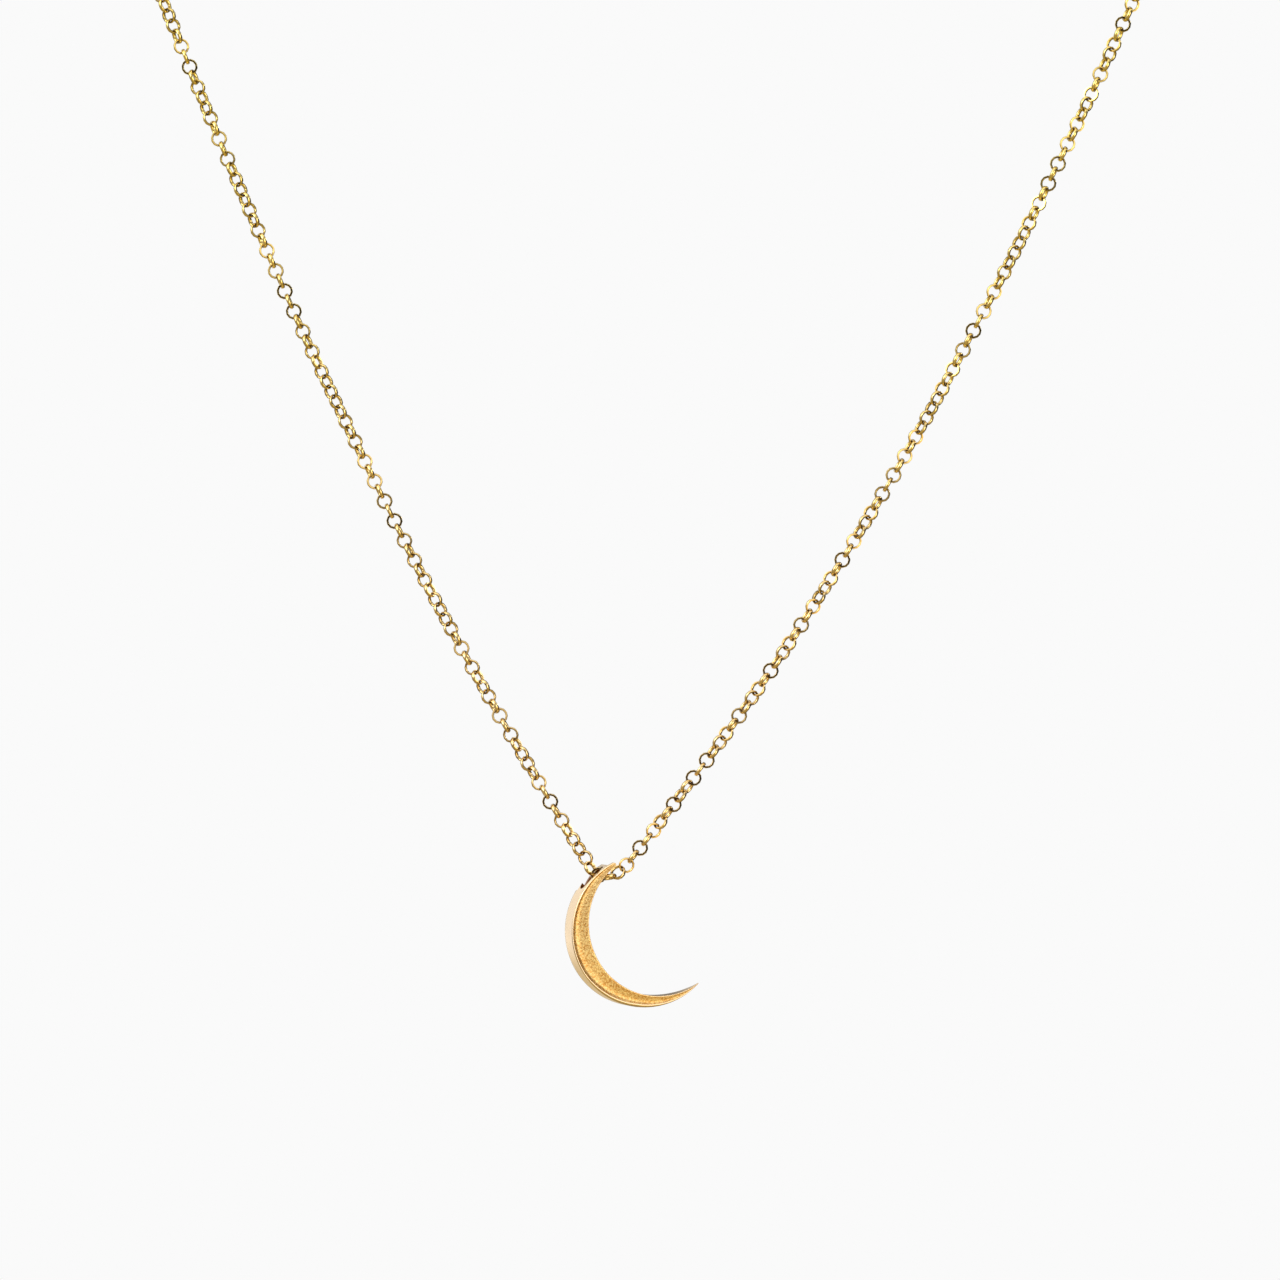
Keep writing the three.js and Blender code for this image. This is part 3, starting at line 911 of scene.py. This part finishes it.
def addPendant():
    strapCut, tipCut = slotSet["strapCut"], slotSet["tipCut"]
    strapRadius = crescentSet["innerRadius"] + slotSet["strap"]
    plateBack = slotSet["plate"] - crescentSet["depth"] / 2
    mesh = cutAway(crescentMesh(), [
        slotCutter(),
        sectorCutter(
            "besideStrap", crescentSet["innerOffset"], (strapRadius, strapCut["outerRadius"]),
            strapCut["angles"], (strapCut["front"], slotSet["behind"]),
        ),
        sectorCutter(
            "behindTip", (0, 0), tipCut["radii"], (tipCut["from"], slotSet["bridge"]),
            (plateBack, slotSet["behind"]),
        ),
    ], crescentSet["sharpAngle"])
    mesh.name = "crescent"
    newPiece("crescent", mesh, "pendant", "pendant_gold", "crescent_pendant")
    report("crescent")


addPendant()


# spring ring clasp and its rings

claspSet = {
    "z": 51.7,  # mm
    "radius": 2.2,
    "tube": 0.55,
    "bore": 0.39,
    "shellStart": 70.0,
    "shellEnd": 380.0,
    "springStart": 172.0,
    "springEnd": 300.0,
    "boltRadius": 0.33,
    "boreStart": 62.0,
    "boreEnd": 302.0,
    "socketStart": 371.0,
    "socketEnd": 388.0,
    "boltStart": 18.0,
    "boltEnd": 168.0,
    "boltTravel": 54.0,
    "lugAngle": 108.0,
    "springTurns": 13,
    "springWire": 0.06,
    "springCoil": 0.25,
    "perTurn": 20,
    "springSides": 8,
    "sides": 28,
    "stepAngle": 3,  # degrees from one section of a tube to the next
    "domeSteps": 5,
    "boltDome": 0.12,
}
lugSet = {
    # the lug's outline: (radius, height over the bolt) in mm
    "profile": [
        (0.0, 0.04), (0.14, 0.04), (0.14, 0.3), (0.14, 0.48), (0.17, 0.52), (0.22, 0.56), (0.255, 0.61),
        (0.275, 0.66), (0.28, 0.72), (0.27, 0.78), (0.25, 0.84), (0.2, 0.89), (0.13, 0.93), (0.06, 0.95),
        (0.0, 0.955),
    ],
    "slotHalf": 0.2,  # half the height of the opening that it slides along
    "slotMargin": 7,  # degrees that the opening goes on past the lug
    "slotSteps": 24,
}
ringSet = {
    "wire": 0.2,  # mm, radius
    "wireSides": 16,
    "segments": 56,
    "claspRing": 0.95,
    "endRing": 1.15,
    "eye": 0.62,
    "eyeWire": 0.22,
    "claspRingX": -4.74,
    "endRingX": 2.57,
    "eyeX": -3.62,
}


def claspSpot(x, y, z):
    return Vector((x * mm, y * mm, (claspSet["z"] + z) * mm))


def arcTube(name, tubeRadius, start, end, dome=0.0):
    # a closed tube round the clasp's middle line; its ends are domed by "dome" mm
    radius, sides = claspSet["radius"], claspSet["sides"]
    steps = max(6, round(abs(end - start) / claspSet["stepAngle"]))
    stations = [(start + (end - start) * i / steps, 1.0) for i in range(steps + 1)]
    if dome:
        count = claspSet["domeSteps"]
        leans = [math.pi / 2 * (i / count) for i in range(count)]
        domed = [(math.degrees(dome * math.cos(lean) / radius), max(0.02, math.sin(lean))) for lean in leans]
        before = [(start - past, swell) for past, swell in domed]
        after = [(end + past, swell) for past, swell in reversed(domed)]
        stations = [*before, *stations, *after]
    corners = []
    for angle, swell in stations:
        turn = math.radians(angle)
        for j in range(sides):
            around = 2 * math.pi * j / sides
            reach = radius + tubeRadius * swell * math.cos(around)
            height = tubeRadius * swell * math.sin(around)
            corners.append(claspSpot(reach * math.cos(turn), reach * math.sin(turn), height))
    return buildMesh(name, corners, tubeFaces(len(stations), sides), [claspGold])


def lugSlot():
    # the opening in the outer wall that the thumb lug slides along
    inner, outer = claspSet["radius"] + 0.1, claspSet["radius"] + claspSet["tube"] + 0.4
    start = claspSet["lugAngle"] - lugSet["slotMargin"]
    end = claspSet["lugAngle"] + claspSet["boltTravel"] + lugSet["slotMargin"]
    steps = lugSet["slotSteps"]
    outline = [(inner, start + (end - start) * i / steps) for i in range(steps + 1)]
    outline += [(outer, end + (start - end) * i / steps) for i in range(steps + 1)]
    corners = []
    for height in (-lugSet["slotHalf"], lugSet["slotHalf"]):
        for reach, angle in outline:
            turn = math.radians(angle)
            corners.append(claspSpot(reach * math.cos(turn), reach * math.sin(turn), height))
    return buildMesh("lugSlot", corners, prismFaces(len(outline)), [claspGold])


def ringMesh(name, middleRadius, wire, x, upright):
    # a round wire ring, upright in the loop's plane or flat in the clasp's
    sides, segments = ringSet["wireSides"], ringSet["segments"]
    corners, faces = [], []
    for i in range(segments):
        turn = 2 * math.pi * i / segments
        for j in range(sides):
            lean = 2 * math.pi * j / sides
            reach = middleRadius + wire * math.cos(lean)
            across, rise = reach * math.cos(turn), reach * math.sin(turn)
            depth = wire * math.sin(lean)
            spot = (across, depth, rise) if upright else (across, rise, depth)
            corners.append(claspSpot(x + spot[0], spot[1], spot[2]))
    for i in range(segments):
        for j in range(sides):
            k, n = (j + 1) % sides, (i + 1) % segments
            faces.append((i * sides + j, i * sides + k, n * sides + k, n * sides + j))
    return buildMesh(name, corners, faces, [claspGold], None, 60)


def lugMesh():
    # a short stem with a rounded thumb pad, standing out from the bolt
    profile = lugSet["profile"]
    out = math.radians(claspSet["lugAngle"])
    base = claspSet["radius"] + claspSet["boltRadius"]
    sides = claspSet["sides"]
    corners = []
    for reach, height in profile:
        for j in range(sides):
            turn = 2 * math.pi * j / sides
            side, up = reach * math.cos(turn), reach * math.sin(turn)
            x = (base + height) * math.cos(out) - side * math.sin(out)
            y = (base + height) * math.sin(out) + side * math.cos(out)
            corners.append(claspSpot(x, y, up))
    return buildMesh("thumbLug", corners, tubeFaces(len(profile), sides, False), [claspGold])


def springMesh():
    # a fine coil lying in the clasp's bore
    radius, coil = claspSet["radius"], claspSet["springCoil"]
    start, span = claspSet["springStart"], claspSet["springEnd"] - claspSet["springStart"]
    perTurn, sides = claspSet["perTurn"], claspSet["springSides"]
    steps = claspSet["springTurns"] * perTurn
    spots = []
    for i in range(steps + 1):
        along = math.radians(start + span * i / steps)
        wind = 2 * math.pi * i / perTurn
        reach = radius + coil * math.cos(wind)
        spots.append(claspSpot(reach * math.cos(along), reach * math.sin(along), coil * math.sin(wind)))
    corners = []
    for i, spot in enumerate(spots):
        ahead = (spots[min(i + 1, steps)] - spots[max(i - 1, 0)]).normalized()
        middle = math.atan2(spot.y, spot.x)
        centre = claspSpot(radius * math.cos(middle), radius * math.sin(middle), 0)
        out = (spot - centre).normalized()
        side = ahead.cross(out).normalized()
        out = side.cross(ahead)
        for j in range(sides):
            turn = 2 * math.pi * j / sides
            rim = out * math.cos(turn) + side * math.sin(turn)
            corners.append(spot + rim * claspSet["springWire"] * mm)
    return buildMesh("claspSpring", corners, tubeFaces(steps + 1, sides), [springSteel])


def addClasp():
    blank = arcTube("claspShell", claspSet["tube"], claspSet["shellStart"], claspSet["shellEnd"])
    shell = cutAway(blank, [
        arcTube("bore", claspSet["bore"], claspSet["boreStart"], claspSet["boreEnd"]),
        arcTube("socket", claspSet["bore"], claspSet["socketStart"], claspSet["socketEnd"]),
        lugSlot(),
    ], 40)
    shell.name = "claspShell"
    newPiece("claspShell", shell, "clasp", "clasp_gold", "clasp_shell")
    bolt = arcTube(
        "claspBolt", claspSet["boltRadius"], claspSet["boltStart"], claspSet["boltEnd"],
        claspSet["boltDome"],
    )
    newPiece("claspBolt", bolt, "bolt", "clasp_gold", "clasp_bolt")
    newPiece("thumbLug", lugMesh(), "bolt", "clasp_gold", "clasp_thumb_lug")
    newPiece("claspSpring", springMesh(), "clasp", "spring_steel", "clasp_spring")
    eye = ringMesh("claspEye", ringSet["eye"], ringSet["eyeWire"], ringSet["eyeX"], False)
    newPiece("claspEye", eye, "clasp", "clasp_gold", "clasp_eye")
    jump = ringMesh("claspJumpRing", ringSet["claspRing"], ringSet["wire"], ringSet["claspRingX"], True)
    newPiece("claspJumpRing", jump, "neck_chain", "clasp_gold", "clasp_jump_ring")
    last = ringMesh("endRing", ringSet["endRing"], ringSet["wire"], ringSet["endRingX"], True)
    newPiece("endRing", last, "neck_chain", "clasp_gold", "end_ring")
    report("clasp")


addClasp()


# studio

studioSet = {
    "backdrop": "#FAFAFA",
    "lightColour": "#FFFAF2",
    "bounceColour": "#F8E0A0",  # off the warm table below
    "floorColour": "#F2F1EF",
    "floorSpeck": "#F6F5F4",
    "floorRoughness": 0.7,
    "floorZ": -0.45,
    "floorRadius": 2.5,
    "front": 0.5,  # brightness of the side behind the camera
    "back": 0.22,
    "darkest": 0.02,
}
# soft panes round the object: (direction, cosine where it starts, where it is full, brightness)
studioPanes = [
    ((-0.7, -0.5, 0.5), 0.8, 0.93, 1.7),  # key pane, front left and above
    ((0.56, -0.82, -0.08), 0.85, 0.95, 1.8),  # front right, which the pendant's face looks at
    ((0.0, 0.1, 1.0), 0.6, 0.9, 0.8),  # top
    ((-0.55, 0.82, 0.2), 0.86, 0.97, 0.75),  # bright backdrop on the left
    ((-0.18, 0.9, -0.42), 0.86, 0.97, 0.5),  # low backdrop behind
    ((-0.05, -1.0, 0.0), 0.93, 0.985, -0.47),  # the dark camera and its stand
    ((0.97, 0.1, 0.0), 0.8, 0.95, -0.8),  # black card on the right
]


lampAim = (0, 0, -0.06)
# (name, place, size, watts, colour)
lamps = [
    ("keyPane", (-0.7, -0.75, 0.5), 0.35, 2.2, "#FFF8EC"),
    ("rimPane", (0.8, 0.5, 0.35), 0.25, 0.8, "#FFFFFF"),
]


def makeWorld():
    world = bpy.data.worlds.new("studio")
    world.use_nodes = True
    tree = world.node_tree
    tree.nodes.clear()
    look = addNode(tree, "ShaderNodeTexCoord").outputs["Generated"]
    parts = addNode(tree, "ShaderNodeSeparateXYZ", {0: look})
    base = addNode(tree, "ShaderNodeMapRange", {
        "Value": parts.outputs["Y"], "From Min": -0.6, "From Max": 0.7,
        "To Min": studioSet["front"], "To Max": studioSet["back"],
    }, interpolation_type="SMOOTHSTEP")
    total = base.outputs[0]
    for direction, starts, full, bright in studioPanes:
        lean = addNode(tree, "ShaderNodeVectorMath", {
            0: look, 1: tuple(Vector(direction).normalized()),
        }, operation="DOT_PRODUCT")
        pane = addNode(tree, "ShaderNodeMapRange", {
            "Value": lean.outputs["Value"], "From Min": starts, "From Max": full, "To Max": bright,
        }, interpolation_type="SMOOTHSTEP")
        added = addNode(tree, "ShaderNodeMath", {0: total, 1: pane.outputs[0]}, operation="ADD")
        total = added.outputs[0]
    strength = addNode(tree, "ShaderNodeMath", {
        0: total, 1: studioSet["darkest"],
    }, operation="MAXIMUM")
    fromBelow = addNode(tree, "ShaderNodeMapRange", {
        "Value": parts.outputs["Z"], "From Min": -0.08, "From Max": -0.4,
    }, interpolation_type="SMOOTHSTEP")
    tint = addNode(tree, "ShaderNodeMix", {
        0: fromBelow.outputs[0],
        6: hexColour(studioSet["lightColour"]),
        7: hexColour(studioSet["bounceColour"]),
    }, data_type="RGBA")
    lit = addNode(tree, "ShaderNodeBackground", {
        "Color": tint.outputs[2], "Strength": strength.outputs[0],
    })
    seen = addNode(tree, "ShaderNodeBackground", {
        "Color": hexColour(studioSet["backdrop"]), "Strength": 1.0,
    })
    path = addNode(tree, "ShaderNodeLightPath")
    mixed = addNode(tree, "ShaderNodeMixShader", {
        0: path.outputs["Is Camera Ray"], 1: lit.outputs[0], 2: seen.outputs[0],
    })
    addNode(tree, "ShaderNodeOutputWorld", {0: mixed.outputs[0]})
    scene.world = world


def addFloor():
    # a wide pale disc far below the hanging loop
    material = bpy.data.materials.new("paleStudioFloor")
    material.use_nodes = True
    tree = material.node_tree
    surface = tree.nodes["Principled BSDF"]
    speck = addNode(tree, "ShaderNodeTexNoise", {
        "Vector": addNode(tree, "ShaderNodeTexCoord").outputs["Object"], "Scale": 6.0,
    })
    colour = addNode(tree, "ShaderNodeMix", {
        0: speck.outputs["Fac"],
        6: hexColour(studioSet["floorColour"]),
        7: hexColour(studioSet["floorSpeck"]),
    }, data_type="RGBA")
    tree.links.new(colour.outputs[2], surface.inputs["Base Color"])
    surface.inputs["Roughness"].default_value = studioSet["floorRoughness"]
    work = bmesh.new()
    bmesh.ops.create_circle(work, cap_ends=True, radius=studioSet["floorRadius"], segments=96)
    bmesh.ops.translate(work, verts=work.verts, vec=(0, 0, studioSet["floorZ"]))
    mesh = bpy.data.meshes.new("studioFloor")
    work.to_mesh(mesh)
    work.free()
    mesh.materials.append(material)
    floor = bpy.data.objects.new("studioFloor", mesh)
    scene.collection.objects.link(floor)
    floor.visible_glossy = False


def addLamp(name, place, size, power, colour):
    light = bpy.data.lights.new(name, "AREA")
    light.shape = "DISK"
    light.size = size
    light.energy = power
    light.color = hexColour(colour)[:3]
    lamp = bpy.data.objects.new(name, light)
    scene.collection.objects.link(lamp)
    lamp.location = place
    lamp.rotation_euler = (Vector(lampAim) - Vector(place)).to_track_quat("-Z", "Y").to_euler()
    lamp.visible_camera = False


makeWorld()
addFloor()
for lampSet in lamps:
    addLamp(*lampSet)
scene.view_settings.view_transform = "Standard"
report("studio")

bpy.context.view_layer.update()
report("done")
